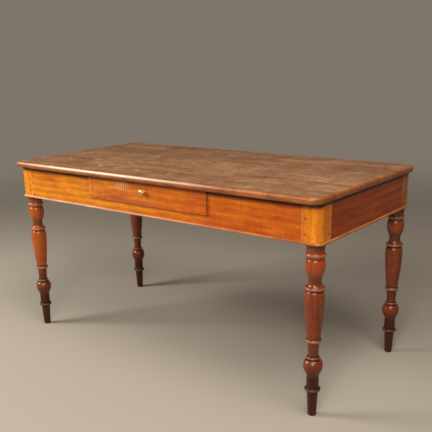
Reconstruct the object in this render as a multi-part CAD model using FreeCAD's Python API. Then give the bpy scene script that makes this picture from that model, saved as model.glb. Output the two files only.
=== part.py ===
import FreeCAD, Part
import math
import os
from FreeCAD import Vector

# Wooden farmhouse table on four turned legs, with one drawer in its front apron.
# Millimetres. X runs along the table, Y from its front to its back and Z up. The origin is on the
# floor below the middle of the top, and every piece is drawn in its place.

# Whole table
table_length = 1492.0
table_width = 755.0
table_height = 760.0

# Top of three boards, tongued and grooved, with one rounded edge all round
top_thickness = 22.0
top_corner_radius = 45.0
upper_edge_round = 8.0
lower_edge_round = 5.0
front_board_width = 248.0
back_board_width = 259.0
tongue_length = 9.0
tongue_thickness = 7.0
tongue_clearance = 0.2

# Frame of posts and aprons, flush on the outside
end_overhang = 10.0
side_overhang = 34.5
post_width = 66.0
post_corner_radius = 20.0
apron_height = 134.5
apron_thickness = 24.0

# Apron tenons, each held in its mortise by two pegs
tenon_thickness = 10.0
tenon_inset = 9.0
mortise_spacing = 3.0
tenon_top_shoulder = 20.0
tenon_bottom_shoulder = 12.0
mortise_clearance = 0.15
mortise_end_room = 1.0
peg_width = 8.0
peg_sides = 8
peg_length = 32.0
peg_proud = 0.4
peg_from_joint = 12.0
lower_peg_height = 32.5
peg_spacing = 50.0
peg_clearance = 0.05

# Half-round bead along the foot of the aprons and posts, mitred at the corners
bead_height = 9.0
bead_land = 1.5

# Turned leg, from the post down to the floor
neck_height = 30.0
neck_diameter = 62.0
neck_foot_diameter = 57.0
ring_edge_height = 4.5
upper_ring_height = 19.0
upper_ring_diameter = 66.0
vase_crease_diameter = 55.0
vase_shoulder_height = 20.0
vase_swell_height = 29.0
vase_hollow_height = 28.0
vase_diameter = 65.0
vase_waist_diameter = 42.5
vase_flare_height = 13.0
vase_flare_diameter = 57.0
middle_ring_height = 17.5
middle_ring_diameter = 65.5
taper_crease_diameter = 54.0
taper_shoulder_height = 28.0
taper_diameter = 66.0
taper_round_height = 50.0
taper_end_diameter = 43.0
lower_ring_height = 15.0
lower_ring_diameter = 54.0
stem_height = 48.0
stem_top_diameter = 38.5
stem_waist_diameter = 34.5
collar_height = 10.0
collar_edge_height = 3.0
collar_diameter = 46.0
collar_foot_diameter = 43.0
ball_shoulder_height = 17.0
ball_swell_height = 30.0
ball_hollow_height = 18.0
ball_diameter = 66.0
ankle_height = 39.0
ankle_diameter = 42.0
foot_ring_height = 14.0
foot_ring_diameter = 54.5
foot_height = 89.0
foot_top_diameter = 38.0
foot_end_diameter = 28.5
foot_end_chamfer = 2.0

# Drawer, drawn standing a little open
drawer_width = 592.0
drawer_open = 7.0
drawer_side_gap = 3.0
drawer_top_gap = 3.0
drawer_foot_gap = 2.5
drawer_rail_height = 41.0
drawer_back_space = 162.0
drawer_front_thickness = 20.0
drawer_front_arris = 1.5
drawer_front_lap = 6.0
drawer_side_thickness = 11.0
drawer_side_drop = 8.0
drawer_back_thickness = 11.0
drawer_back_drop = 5.0
front_tail_count = 3
back_tail_count = 2
dovetail_pin = 6.0
dovetail_flare = 2.0
bottom_thickness = 7.0
bottom_groove_depth = 5.0
bottom_groove_height = 8.0
bottom_clearance = 0.25
bottom_nail_count = 3
bottom_nail_from_side = 45.0
bottom_nail_length = 24.0

# Turned brass knob, with a shank and a nut behind the drawer front
knob_above_middle = 6.5
knob_projection = 19.0
knob_diameter = 24.0
knob_face_diameter = 17.0
knob_face_height = 3.0
knob_edge_height = 3.0
knob_under_height = 6.0
knob_neck_diameter = 11.0
knob_base_diameter = 19.0
knob_base_height = 4.0
shank_diameter = 6.0
shank_clearance = 0.2
shank_beyond_nut = 2.0
nut_width = 12.0
nut_thickness = 5.0
nut_sides = 6

# Runners below the drawer's sides, with guides beside it and stops behind it
runner_clearance = 0.3
runner_height = 26.0
runner_inner_width = 10.0
runner_shoulder = 6.0
runner_tenon_length = 8.0
guide_gap = 1.0
guide_width = 18.0
guide_height = 20.0
guide_end_gap = 0.5
guide_nail_count = 3
guide_nail_from_end = 98.5
guide_nail_length = 34.0
stop_thickness = 14.0
stop_height = 16.0
stop_clearance = 0.3

# Square cut nails of the drawer bottom and the guides
nail_width = 3.2
nail_point_width = 1.4
nail_head_width = 5.6
nail_head_height = 1.4
nail_clearance = 0.05

# Three-cornered blocks glued below the top, along the inside of the aprons
glue_block_length = 90.0
glue_block_width = 32.0
glue_block_from_post = 85.0

# Levels and places that follow from the sizes above
top_underside = table_height - top_thickness
apron_foot = top_underside - apron_height
frame_x = table_length / 2 - end_overhang
frame_y = table_width / 2 - side_overhang
leg_x = frame_x - post_width / 2
leg_y = frame_y - post_width / 2
joint_x = frame_x - post_width
joint_y = frame_y - post_width
inner_x = frame_x - apron_thickness
inner_y = frame_y - apron_thickness
tenon_length = post_width - tenon_inset - tenon_thickness - mortise_spacing
opening_x = drawer_width / 2 + drawer_side_gap
opening_foot = apron_foot + drawer_rail_height
drawer_foot = opening_foot + drawer_foot_gap
drawer_top = top_underside - drawer_top_gap
drawer_front_y = -frame_y - drawer_open
drawer_lining_y = drawer_front_y + drawer_front_thickness
drawer_rear_y = inner_y - drawer_back_space - drawer_open
drawer_x = drawer_width / 2
lining_x = drawer_x - drawer_side_thickness
side_top = drawer_top - drawer_side_drop
bottom_level = drawer_foot + bottom_groove_height
back_foot = bottom_level + bottom_thickness + bottom_clearance
back_top = side_top - drawer_back_drop
back_front_y = drawer_rear_y - drawer_back_thickness
runner_top = drawer_foot - runner_clearance
runner_foot = runner_top - runner_height
guide_x = drawer_x + guide_gap
runner_outer_x = guide_x + guide_width
runner_inner_x = lining_x - runner_inner_width
guide_reach = inner_y - guide_end_gap
front_seam = front_board_width - table_width / 2
back_seam = table_width / 2 - back_board_width
knob_level = (drawer_foot + drawer_top) / 2 + knob_above_middle
shank_length = drawer_front_thickness + nut_thickness + shank_beyond_nut
ball_level = foot_height + foot_ring_height + ankle_height + ball_hollow_height + ball_swell_height
taper_end_level = ball_level + ball_shoulder_height + collar_height + stem_height + lower_ring_height

CENTRE = Vector(0, 0, 0)
ACROSS = Vector(1, 0, 0)
ALONG = Vector(0, 1, 0)
UP = Vector(0, 0, 1)
MITRE_ANGLE = math.degrees(ACROSS.getAngle(ALONG)) / 2


def block(across, along, up):
    """Block between two limits on each axis."""
    corner = Vector(across[0], along[0], up[0])
    return Part.makeBox(across[1] - across[0], along[1] - along[0], up[1] - up[0], corner)


def rounded_slab(half_x, half_y, radius, level, height):
    """Upright slab about the table's middle, with its four corners rounded."""
    slab = block((-half_x, half_x), (-half_y, half_y), (level, level + height))
    corners = [edge for edge in slab.Edges if edge.BoundBox.ZLength > height / 2]
    return slab.makeFillet(radius, corners)


def rim(solid, pick):
    """Edges round the highest or the lowest face of a solid."""
    return pick(solid.Faces, key=lambda face: face.CenterOfMass.z).Edges


def in_corner(piece, side_x, side_y):
    """A piece drawn at the right back corner, mirrored to another corner of the table."""
    placed = piece
    if side_x < 0:
        placed = placed.mirror(CENTRE, ACROSS)
    if side_y < 0:
        placed = placed.mirror(CENTRE, ALONG)
    return placed


def in_all_corners(piece):
    """The same piece in all four corners."""
    return [in_corner(piece, side_x, side_y) for side_x in (-1, 1) for side_y in (-1, 1)]


def plumb_arc(plumb, far):
    """Arc between two points of a turning, parallel to its axis at the first one."""
    out = far.x - plumb.x
    rise = far.z - plumb.z
    reach = (out * out + rise * rise) / (2 * out)
    centre = plumb + ACROSS * reach
    halfway = plumb + far - centre * 2
    halfway.normalize()
    return Part.Arc(plumb, centre + halfway * abs(reach), far).toShape()


class Turning:
    """Outline of a turned piece beside its axis, drawn from its top down."""

    def __init__(self, level):
        self.tip = Vector(0, 0, level)
        self.edges = [Part.makeLine(CENTRE, self.tip)]

    def below(self, height, diameter):
        return Vector(diameter / 2, 0, self.tip.z - height)

    def add(self, edge, end):
        self.edges.append(edge)
        self.tip = end

    def line(self, height, diameter):
        end = self.below(height, diameter)
        self.add(Part.makeLine(self.tip, end), end)

    def swell(self, height, diameter):
        """Arc that ends parallel to the axis."""
        end = self.below(height, diameter)
        self.add(plumb_arc(end, self.tip), end)

    def fall(self, height, diameter):
        """Arc that starts parallel to the axis."""
        end = self.below(height, diameter)
        self.add(plumb_arc(self.tip, end), end)

    def ogee(self, swell_height, hollow_height, diameter):
        """A swell and a hollow in an S, parallel to the axis at both ends."""
        end = self.below(swell_height + hollow_height, diameter)
        middle = self.tip + (end - self.tip) * (swell_height / (swell_height + hollow_height))
        self.edges.append(plumb_arc(self.tip, middle))
        self.add(plumb_arc(end, middle), end)

    def ring(self, height, ring_diameter, diameter, edge_height):
        """Ring with sloping edges, from the diameter above it to the one below."""
        self.line(edge_height, ring_diameter)
        self.line(height - 2 * edge_height, ring_diameter)
        self.line(edge_height, diameter)

    def solid(self):
        self.line(self.tip.z, 0)
        return Part.Face(Part.Wire(self.edges)).revolve(CENTRE, UP, 360)


def turned_leg():
    """Turned part of a leg, standing on the floor at the origin, up to the foot of its post."""
    leg = Turning(apron_foot)
    leg.line(0, neck_diameter)
    leg.line(neck_height, neck_foot_diameter)
    leg.ring(upper_ring_height, upper_ring_diameter, vase_crease_diameter, ring_edge_height)
    leg.swell(vase_shoulder_height, vase_diameter)
    leg.ogee(vase_swell_height, vase_hollow_height, vase_waist_diameter)
    leg.fall(vase_flare_height, vase_flare_diameter)
    leg.ring(middle_ring_height, middle_ring_diameter, taper_crease_diameter, ring_edge_height)
    leg.swell(taper_shoulder_height, taper_diameter)
    taper_height = leg.tip.z - taper_end_level
    taper_round = min(taper_round_height, taper_height / 2)
    slope = (taper_diameter - taper_end_diameter) / (taper_height - taper_round / 2)
    leg.fall(taper_round, taper_diameter - slope * taper_round / 2)
    leg.line(taper_height - taper_round, taper_end_diameter)
    leg.ring(lower_ring_height, lower_ring_diameter, stem_top_diameter, ring_edge_height)
    leg.swell(stem_height, stem_waist_diameter)
    leg.ring(collar_height, collar_diameter, collar_foot_diameter, collar_edge_height)
    leg.swell(ball_shoulder_height, ball_diameter)
    leg.ogee(ball_swell_height, ball_hollow_height, ankle_diameter)
    leg.line(ankle_height, ankle_diameter)
    leg.ring(foot_ring_height, foot_ring_diameter, foot_top_diameter, ring_edge_height)
    leg.line(foot_height - foot_end_chamfer, foot_end_diameter)
    leg.line(foot_end_chamfer, foot_end_diameter - 2 * foot_end_chamfer)
    return leg.solid()


def extruded(corners, sweep):
    """Straight-sided outline, swept along a vector."""
    return Part.Face(Part.makePolygon(corners + corners[:1])).extrude(sweep)


def many_sided(sides, width, start, sweep):
    """Bar with equal sides, of a width over its flats, swept level from the middle of its end."""
    level_axis = UP.cross(sweep)
    level_axis.normalize()
    reach = width / 2 / math.cos(math.pi / sides)
    corners = []
    for side in range(sides):
        turn = 2 * math.pi * (side + 0.5) / sides
        corners.append(start + level_axis * (reach * math.cos(turn)) + UP * (reach * math.sin(turn)))
    return extruded(corners, sweep)


def long_tenon(room=0.0, end_room=0.0):
    """Tenon of the back apron in the right back post, or with room its mortise."""
    face = frame_y - tenon_inset
    across = (joint_x, joint_x + tenon_length + end_room)
    along = (face - tenon_thickness - room, face + room)
    up = (apron_foot + tenon_bottom_shoulder - room, top_underside - tenon_top_shoulder + room)
    return block(across, along, up)


def short_tenon(room=0.0, end_room=0.0):
    """Tenon of the right apron in the right back post, or with room its mortise."""
    face = frame_x - tenon_inset
    across = (face - tenon_thickness - room, face + room)
    along = (joint_y, joint_y + tenon_length + end_room)
    up = (apron_foot + tenon_bottom_shoulder - room, top_underside - tenon_top_shoulder + room)
    return block(across, along, up)


def corner_pegs(room=0.0):
    """The four pegs of the right back post, or with room their holes."""
    pegs = []
    width = peg_width + 2 * room
    length = peg_length + room
    for step in (0, peg_spacing):
        level = apron_foot + lower_peg_height + step
        long_start = Vector(joint_x + peg_from_joint, frame_y + peg_proud, level)
        short_start = Vector(frame_x + peg_proud, joint_y + peg_from_joint, level)
        pegs.append(many_sided(peg_sides, width, long_start, ALONG * -length))
        pegs.append(many_sided(peg_sides, width, short_start, ACROSS * -length))
    return pegs


def leg_right_back():
    """Square post with a rounded outer corner, and the turned leg below it, from one piece."""
    post = block((joint_x, frame_x), (joint_y, frame_y), (apron_foot, top_underside))
    outer = max(post.Edges, key=lambda edge: edge.CenterOfMass.x + edge.CenterOfMass.y)
    post = post.makeFillet(post_corner_radius, [outer])
    turning = turned_leg()
    turning.translate(Vector(leg_x, leg_y, 0))
    leg = post.fuse(turning)
    cuts = corner_pegs(peg_clearance)
    cuts.append(long_tenon(mortise_clearance, mortise_end_room))
    cuts.append(short_tenon(mortise_clearance, mortise_end_room))
    return leg.cut(cuts).removeSplitter()


def bead_section(flat, out):
    """Section of the bead, a half round on a narrow land, from a point at the frame's foot."""
    top = flat + UP * bead_height
    land = out * bead_land
    nose = (flat + top) * 0.5 + out * (bead_land + bead_height / 2)
    edges = [Part.makeLine(flat, flat + land)]
    edges.append(Part.Arc(flat + land, nose, top + land).toShape())
    edges.append(Part.makeLine(top + land, top))
    edges.append(Part.makeLine(top, flat))
    return Part.Face(Part.Wire(edges))


def bead_length(section, sweep, middle):
    """Length of bead with a half corner at each end, turned about the post's rounded corner."""
    straight = section.extrude(sweep)
    start = section.revolve(middle, UP, MITRE_ANGLE)
    end = section.copy()
    end.translate(sweep)
    end = end.revolve(middle + sweep, UP, -MITRE_ANGLE)
    return straight.fuse([start, end]).removeSplitter()


def bead_back():
    """Length of bead along the back, with its mitres in the middle of the rounded corners."""
    half = frame_x - post_corner_radius
    section = bead_section(Vector(-half, frame_y, apron_foot), ALONG)
    middle = Vector(-half, frame_y - post_corner_radius, apron_foot)
    return bead_length(section, ACROSS * (2 * half), middle)


def bead_right():
    """Length of bead along the right end, with its mitres in the middle of the rounded corners."""
    half = frame_y - post_corner_radius
    section = bead_section(Vector(frame_x, half, apron_foot), ACROSS)
    middle = Vector(frame_x - post_corner_radius, half, apron_foot)
    return bead_length(section, ALONG * (-2 * half), middle)


def square(width, level):
    """Square about the axis, at one height."""
    half = width / 2
    plan = [(-half, -half), (half, -half), (half, half), (-half, half), (-half, -half)]
    return Part.makePolygon([Vector(across, along, level) for across, along in plan])


def spread(reach, count):
    """Places at equal steps from one side of the middle to the other."""
    return [reach * (2 * place / (count - 1) - 1) for place in range(count)]


def cut_nail(length, room=0.0):
    """Tapered nail, its head's face at the origin and its point up, or with room its hole."""
    ends = [square(nail_width + 2 * room, 0), square(nail_point_width + 2 * room, length + room)]
    half = nail_head_width / 2 + room
    head = block((-half, half), (-half, half), (0, nail_head_height + room))
    return Part.makeLoft(ends, True, True).fuse(head).removeSplitter()


def glue_blocks():
    """Three-cornered blocks in the angle between the aprons and the top, two on each side."""
    foot = top_underside - glue_block_width
    plan = [(0, top_underside), (-glue_block_width, top_underside), (0, foot)]
    start = joint_x - glue_block_from_post
    corners = [Vector(start, inner_y + along, up) for along, up in plan]
    long_block = extruded(corners, ACROSS * -glue_block_length)
    start = joint_y - glue_block_from_post
    corners = [Vector(inner_x + across, start, up) for across, up in plan]
    short_block = extruded(corners, ALONG * -glue_block_length)
    return in_all_corners(long_block) + in_all_corners(short_block)


def seam_tongue(seam, side, room=0.0):
    """Tongue that the middle board has at a seam, or with room its groove."""
    level = top_underside + top_thickness / 2
    along = sorted((seam, seam + side * (tongue_length + room)))
    half = tongue_thickness / 2 + room
    return block((-table_length, table_length), along, (level - half, level + half))


def whole_top():
    """Top with rounded corners and edges, before it is parted into its boards."""
    size = (table_length / 2, table_width / 2, top_corner_radius)
    top = rounded_slab(*size, top_underside, top_thickness)
    top = top.makeFillet(upper_edge_round, rim(top, max))
    return top.makeFillet(lower_edge_round, rim(top, min))


def top_board(front, back):
    """Part of the top between two lines along it."""
    strip = block((-table_length, table_length), (front, back), (top_underside, table_height))
    return whole_top().common(strip)


def top_boards():
    """Front, middle and back board of the top."""
    front = top_board(-table_width, front_seam).cut(seam_tongue(front_seam, -1, tongue_clearance))
    back = top_board(back_seam, table_width).cut(seam_tongue(back_seam, 1, tongue_clearance))
    tongues = [seam_tongue(front_seam, -1), seam_tongue(back_seam, 1)]
    tongues = [whole_top().common(tongue) for tongue in tongues]
    middle = top_board(front_seam, back_seam).fuse(tongues).removeSplitter()
    return front, middle, back


def runner_tenon(room=0.0):
    """Stub tenon of the right runner in the back apron, or with room its socket."""
    across = (runner_inner_x + runner_shoulder - room, runner_outer_x - runner_shoulder + room)
    up = (runner_foot + runner_shoulder - room, runner_top - runner_shoulder + room)
    return block(across, (inner_y, inner_y + runner_tenon_length + room), up)


def apron_back():
    """Back apron: a board tenoned into both posts, with sockets for the runners inside."""
    board = block((-joint_x, joint_x), (inner_y, frame_y), (apron_foot, top_underside))
    tenon = long_tenon()
    board = board.fuse([tenon, in_corner(tenon, -1, 1)])
    cuts = corner_pegs(peg_clearance)
    cuts.append(runner_tenon(mortise_clearance))
    cuts += [in_corner(cut, -1, 1) for cut in cuts]
    return board.cut(cuts).removeSplitter()


def apron_front():
    """Front apron: like the back one, with the drawer's opening cut down from its top edge."""
    opening = block((-opening_x, opening_x), (-frame_y, -inner_y), (opening_foot, top_underside))
    return in_corner(apron_back(), 1, -1).cut(opening)


def apron_right():
    """Right end apron, tenoned into the front and back posts."""
    board = block((inner_x, frame_x), (-joint_y, joint_y), (apron_foot, top_underside))
    tenon = short_tenon()
    board = board.fuse([tenon, in_corner(tenon, 1, -1)])
    cuts = corner_pegs(peg_clearance)
    cuts += [in_corner(cut, 1, -1) for cut in cuts]
    return board.cut(cuts).removeSplitter()


def guide_nails(room=0.0):
    """Nails down through the right guide into its runner, or with room their holes."""
    nails = []
    for along in spread(guide_reach - guide_nail_from_end, guide_nail_count):
        nail = cut_nail(guide_nail_length, room)
        nail.rotate(CENTRE, ACROSS, 180)
        nail.translate(Vector(guide_x + guide_width / 2, along, runner_top + guide_height))
        nails.append(nail)
    return nails


def runner_right():
    """Bearer below the drawer's right side, let into the front and back aprons."""
    across = (runner_inner_x, runner_outer_x)
    bearer = block(across, (-inner_y, inner_y), (runner_foot, runner_top))
    tenon = runner_tenon()
    bearer = bearer.fuse([tenon, in_corner(tenon, 1, -1)])
    return bearer.cut(guide_nails(nail_clearance)).removeSplitter()


def guide_right():
    """Strip on the right runner that keeps the drawer straight."""
    up = (runner_top, runner_top + guide_height)
    strip = block((guide_x, runner_outer_x), (-guide_reach, guide_reach), up)
    return strip.cut(guide_nails(nail_clearance))


def stop_right():
    """Block on the right runner that the closed drawer comes up against."""
    start = drawer_rear_y + drawer_open + stop_clearance
    along = (start, start + stop_thickness)
    return block((runner_inner_x, drawer_x), along, (runner_top, runner_top + stop_height))


def dovetails(count, foot, top, root_y, tip_y):
    """Tails of the drawer's right side, spread over a joint's height and wider at their tips."""
    pitch = (top - foot) / count
    tip = (pitch - dovetail_pin) / 2
    root = tip - dovetail_flare
    tails = []
    for place in range(count):
        level = foot + pitch * (place + 0.5)
        corners = [Vector(lining_x, root_y, level - root), Vector(lining_x, tip_y, level - tip)]
        corners += [Vector(lining_x, tip_y, level + tip), Vector(lining_x, root_y, level + root)]
        tails.append(extruded(corners, ACROSS * drawer_side_thickness))
    return tails


def front_tails():
    """Tails lapped by the drawer front, which hides their ends."""
    tip_y = drawer_front_y + drawer_front_lap
    return dovetails(front_tail_count, drawer_foot, side_top, drawer_lining_y, tip_y)


def back_tails():
    """Tails that run right through the drawer back."""
    return dovetails(back_tail_count, back_foot, back_top, back_front_y, drawer_rear_y)


def bottom_panel(room=0.0):
    """Drawer bottom, or with room the groove that it slides into."""
    half = lining_x + bottom_groove_depth - bottom_clearance + room
    start = drawer_lining_y - bottom_groove_depth + bottom_clearance - room
    up = (bottom_level - room, bottom_level + bottom_thickness + room)
    return block((-half, half), (start, drawer_rear_y), up)


def bottom_nails(room=0.0):
    """Nails up through the drawer bottom into the back, or with room their holes."""
    nails = []
    for across in spread(lining_x - bottom_nail_from_side, bottom_nail_count):
        nail = cut_nail(bottom_nail_length, room)
        nail.translate(Vector(across, drawer_rear_y - drawer_back_thickness / 2, bottom_level))
        nails.append(nail)
    return nails


def shank_hole(start_y, length):
    """Hole for the knob's shank."""
    start = Vector(0, start_y, knob_level)
    return Part.makeCylinder(shank_diameter / 2 + shank_clearance, length, start, ALONG)


def drawer_front():
    """Drawer front with sockets for the sides' tails, a groove for the bottom and the knob's hole."""
    up = (drawer_foot, drawer_top)
    board = block((-drawer_x, drawer_x), (drawer_front_y, drawer_lining_y), up)
    arris = [edge for edge in board.Edges if edge.BoundBox.YMax < drawer_front_y + drawer_front_arris]
    board = board.makeFillet(drawer_front_arris, arris)
    tails = front_tails()
    cuts = tails + [in_corner(tail, -1, 1) for tail in tails]
    cuts.append(bottom_panel(bottom_clearance))
    cuts.append(shank_hole(drawer_front_y, drawer_front_thickness))
    return board.cut(cuts)


def drawer_side_right():
    """Drawer side with its tails at both ends and a groove for the bottom."""
    across = (lining_x, drawer_x)
    board = block(across, (drawer_lining_y, drawer_rear_y), (drawer_foot, side_top))
    board = board.cut(block(across, (back_front_y, drawer_rear_y), (back_foot, back_top)))
    board = board.fuse(front_tails() + back_tails())
    return board.cut(bottom_panel(bottom_clearance)).removeSplitter()


def drawer_back():
    """Drawer back, standing on the bottom, with its pins between the sides' tails."""
    board = block((-drawer_x, drawer_x), (back_front_y, drawer_rear_y), (back_foot, back_top))
    tails = back_tails()
    cuts = tails + [in_corner(tail, -1, 1) for tail in tails]
    return board.cut(cuts + bottom_nails(nail_clearance))


def drawer_bottom():
    """Thin bottom panel, pierced by its nails."""
    return bottom_panel().cut(bottom_nails(nail_clearance))


def drawer_knob():
    """Turned knob with a sloping face, a neck, a base and a shank through the drawer front."""
    knob = Turning(shank_length + knob_projection)
    knob.line(0, knob_face_diameter)
    knob.line(knob_face_height, knob_diameter)
    knob.line(knob_edge_height, knob_diameter)
    knob.line(knob_under_height, knob_neck_diameter)
    knob.line(knob.tip.z - shank_length - knob_base_height, knob_neck_diameter)
    knob.line(0, knob_base_diameter)
    knob.line(knob_base_height, knob_base_diameter)
    knob.line(0, shank_diameter)
    knob.line(shank_length, shank_diameter)
    solid = knob.solid()
    solid.rotate(CENTRE, ACROSS, 90)
    solid.translate(Vector(0, drawer_front_y + shank_length, knob_level))
    return solid


def knob_nut():
    """Nut on the shank, drawn up against the inside of the drawer front."""
    start = Vector(0, drawer_lining_y, knob_level)
    nut = many_sided(nut_sides, nut_width, start, ALONG * nut_thickness)
    return nut.cut(shank_hole(drawer_lining_y, nut_thickness))


def mirrored_pair(name, piece):
    """A piece of the right half under its own name, and its mirror image for the left half."""
    return {name + "_right": piece, name + "_left": in_corner(piece, -1, 1)}


def group(solids):
    """Like pieces that share one node."""
    return Part.makeCompound(solids)


def with_mirror(solids):
    """Pieces of the right half and their mirror images on the left."""
    return solids + [in_corner(solid, -1, 1) for solid in solids]


def all_pieces():
    """Every piece of the table, under its name."""
    pieces = {}
    pieces["top_board_front"], pieces["top_board_middle"], pieces["top_board_back"] = top_boards()
    leg = leg_right_back()
    pieces.update(mirrored_pair("leg_back", leg))
    pieces.update(mirrored_pair("leg_front", in_corner(leg, 1, -1)))
    pieces["apron_front"] = apron_front()
    pieces["apron_back"] = apron_back()
    pieces.update(mirrored_pair("apron", apron_right()))
    pieces["bead_back"] = bead_back()
    pieces["bead_front"] = in_corner(bead_back(), 1, -1)
    pieces.update(mirrored_pair("bead", bead_right()))
    pieces["tenon_pegs"] = group([peg for corner in corner_pegs() for peg in in_all_corners(corner)])
    pieces["glue_blocks"] = group(glue_blocks())
    pieces.update(mirrored_pair("drawer_runner", runner_right()))
    pieces.update(mirrored_pair("drawer_guide", guide_right()))
    pieces["guide_nails"] = group(with_mirror(guide_nails()))
    pieces["drawer_stops"] = group(with_mirror([stop_right()]))
    pieces["drawer_front"] = drawer_front()
    pieces.update(mirrored_pair("drawer_side", drawer_side_right()))
    pieces["drawer_back"] = drawer_back()
    pieces["drawer_bottom"] = drawer_bottom()
    pieces["bottom_nails"] = group(bottom_nails())
    pieces["drawer_knob"] = drawer_knob()
    pieces["knob_nut"] = knob_nut()
    return pieces


os.makedirs("parts", exist_ok=True)
for name, piece in all_pieces().items():
    piece.exportStep(os.path.join("parts", name + ".step"))
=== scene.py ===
from math import cos, pi, radians, sin

import bmesh
import bpy
from mathutils import Matrix, Vector


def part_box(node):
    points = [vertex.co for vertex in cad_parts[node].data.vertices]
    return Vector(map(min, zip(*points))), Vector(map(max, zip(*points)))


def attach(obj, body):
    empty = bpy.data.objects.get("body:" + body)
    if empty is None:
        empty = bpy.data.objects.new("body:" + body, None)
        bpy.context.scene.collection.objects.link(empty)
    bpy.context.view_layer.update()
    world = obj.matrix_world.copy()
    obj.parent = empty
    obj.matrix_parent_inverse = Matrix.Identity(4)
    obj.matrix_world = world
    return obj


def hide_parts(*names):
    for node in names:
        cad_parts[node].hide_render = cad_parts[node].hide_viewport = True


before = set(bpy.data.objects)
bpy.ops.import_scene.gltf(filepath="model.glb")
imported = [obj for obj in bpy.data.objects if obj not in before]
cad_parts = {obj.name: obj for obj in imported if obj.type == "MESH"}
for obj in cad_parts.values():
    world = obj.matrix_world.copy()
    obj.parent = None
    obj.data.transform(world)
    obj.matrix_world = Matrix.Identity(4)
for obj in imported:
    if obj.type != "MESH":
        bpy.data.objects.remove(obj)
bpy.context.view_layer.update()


# Legs: four legs of polished mahogany, each from one piece with its square post.
# Below the bead the post was turned on a lathe to a vase, a long taper and a ball
# between half-round rings. Its post, mortises and peg holes are the frame's own.
MM = 0.001
POST_FOOT, TOP_UNDERSIDE = (corner.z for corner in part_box("apron_front"))
NECK_DIAMETER = 62
SIDES = 72
WELD = 0.001 * MM
CUT_ABOVE_FOOT = 0.3 * MM
SHARP_ANGLE = radians(35)
# The vertex attribute that carries the rings' wear and painted highlight.
CREST_WEAR_AND_HIGHLIGHT = "rubbed"
BELLY_LAG, SWELL_LAG = 1.45, 1.5

# Each stretch of a turning runs down by a fall to a diameter, both in mm. A ring goes out
# to its diameter and comes back. A curve has its number of steps, and says how far down and
# out a share of the way is. A lag keeps it wide for longer.
CURVES = {"straight": (1, lambda t: (t, t)),
          "ring": (14, lambda t: ((1 - cos(pi * t)) / 2, sin(pi * t))),
          "shoulder": (12, lambda t: (1 - cos(pi * t / 2), sin(pi * t / 2))),
          "hollow": (10, lambda t: (sin(pi * t / 2), 1 - cos(pi * t / 2))),
          "ogee": (24, lambda t: (t, (1 - cos(pi * t)) / 2)),
          "belly": (24, lambda t: (t, (1 - cos(pi * t ** BELLY_LAG)) / 2)),
          "swell": (24, lambda t: (t, t ** SWELL_LAG))}
NECK = [("straight", 24, 57), ("hollow", 6, 59)]
UPPER_RING = [("ring", 11, 66), ("straight", 5, 59), ("straight", 3, 54)]
VASE = [("shoulder", 20, 65), ("belly", 50, 42.5), ("straight", 7, 42.5), ("hollow", 16, 60)]
MIDDLE_RING = [("ring", 11, 65.5), ("straight", 3.5, 53)]
TAPER = [("shoulder", 28, 66), ("swell", 139, 43)]
LOWER_RING = [("straight", 0, 46), ("ring", 12, 54), ("straight", 3, 38.5)]
STEM = [("ogee", 48, 34.5)]
COLLAR = [("straight", 0, 40), ("ring", 8, 46), ("straight", 2, 40)]
BALL = [("shoulder", 20, 65.5), ("belly", 41, 42)]
ANKLE = [("straight", 43, 42)]
FOOT_RING = [("straight", 0, 46), ("ring", 11, 54.5), ("straight", 3, 38)]
FOOT = [("straight", 86, 29), ("straight", 3, 24), ("straight", 0, 0)]
TURNING = (NECK + UPPER_RING + VASE + MIDDLE_RING + TAPER + LOWER_RING + STEM + COLLAR + BALL
           + ANKLE + FOOT_RING + FOOT)


def turned_outline(level, diameter, stretches):
    """Rows of a turning from its top down: radius and level in metres, and a ring's crest share, which
    carries wear and a painted highlight.
    """
    rows = [(diameter / 2 * MM, level, 0)]
    for kind, fall, end in stretches:
        steps, curve = CURVES[kind]
        for step in range(1, steps + 1):
            down, out = curve(step / steps)
            radius = (diameter + (end - diameter) * out) / 2 * MM
            crest_share = out if kind == "ring" else 0
            rows.append((radius, level - fall * down * MM, crest_share))
        level -= fall * MM
        diameter = diameter if kind == "ring" else end
    return rows


def turn(mesh, rows, foot, axis):
    """Adds a turning about an axis through foot to a mesh, with each row's crest share as a vertex
    attribute, which carries the rings' wear and painted highlight. A row with no radius closes an end."""
    side = axis.orthogonal().normalized()
    other = axis.cross(side)
    rubbed = mesh.verts.layers.float.new(CREST_WEAR_AND_HIGHLIGHT)
    circles = []
    for radius, level, crest_share in rows:
        middle = foot + axis * level
        circle = []
        for i in range(SIDES if radius else 1):
            angle = 2 * pi * i / SIDES
            corner = mesh.verts.new(middle + (side * cos(angle) + other * sin(angle)) * radius)
            corner[rubbed] = crest_share
            circle.append(corner)
        circles.append(circle)
    for upper, lower in zip(circles, circles[1:]):
        for i in range(SIDES):
            corners = [upper[i % len(upper)], lower[i % len(lower)],
                       lower[(i + 1) % len(lower)], upper[(i + 1) % len(upper)]]
            mesh.faces.new(dict.fromkeys(corners))


def new_piece(mesh, name, body, node):
    """A piece that stands for a node, smooth between its sharp edges and even on its flats."""
    bmesh.ops.recalc_face_normals(mesh, faces=mesh.faces)
    data = bpy.data.meshes.new(name)
    mesh.to_mesh(data)
    mesh.free()
    data.shade_smooth()
    data.set_sharp_from_angle(angle=SHARP_ANGLE)
    piece = bpy.data.objects.new(name, data)
    piece.modifiers.new("even_flats", "WEIGHTED_NORMAL").keep_sharp = True
    bpy.context.scene.collection.objects.link(piece)
    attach(piece, body)
    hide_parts(node)
    return piece


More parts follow.
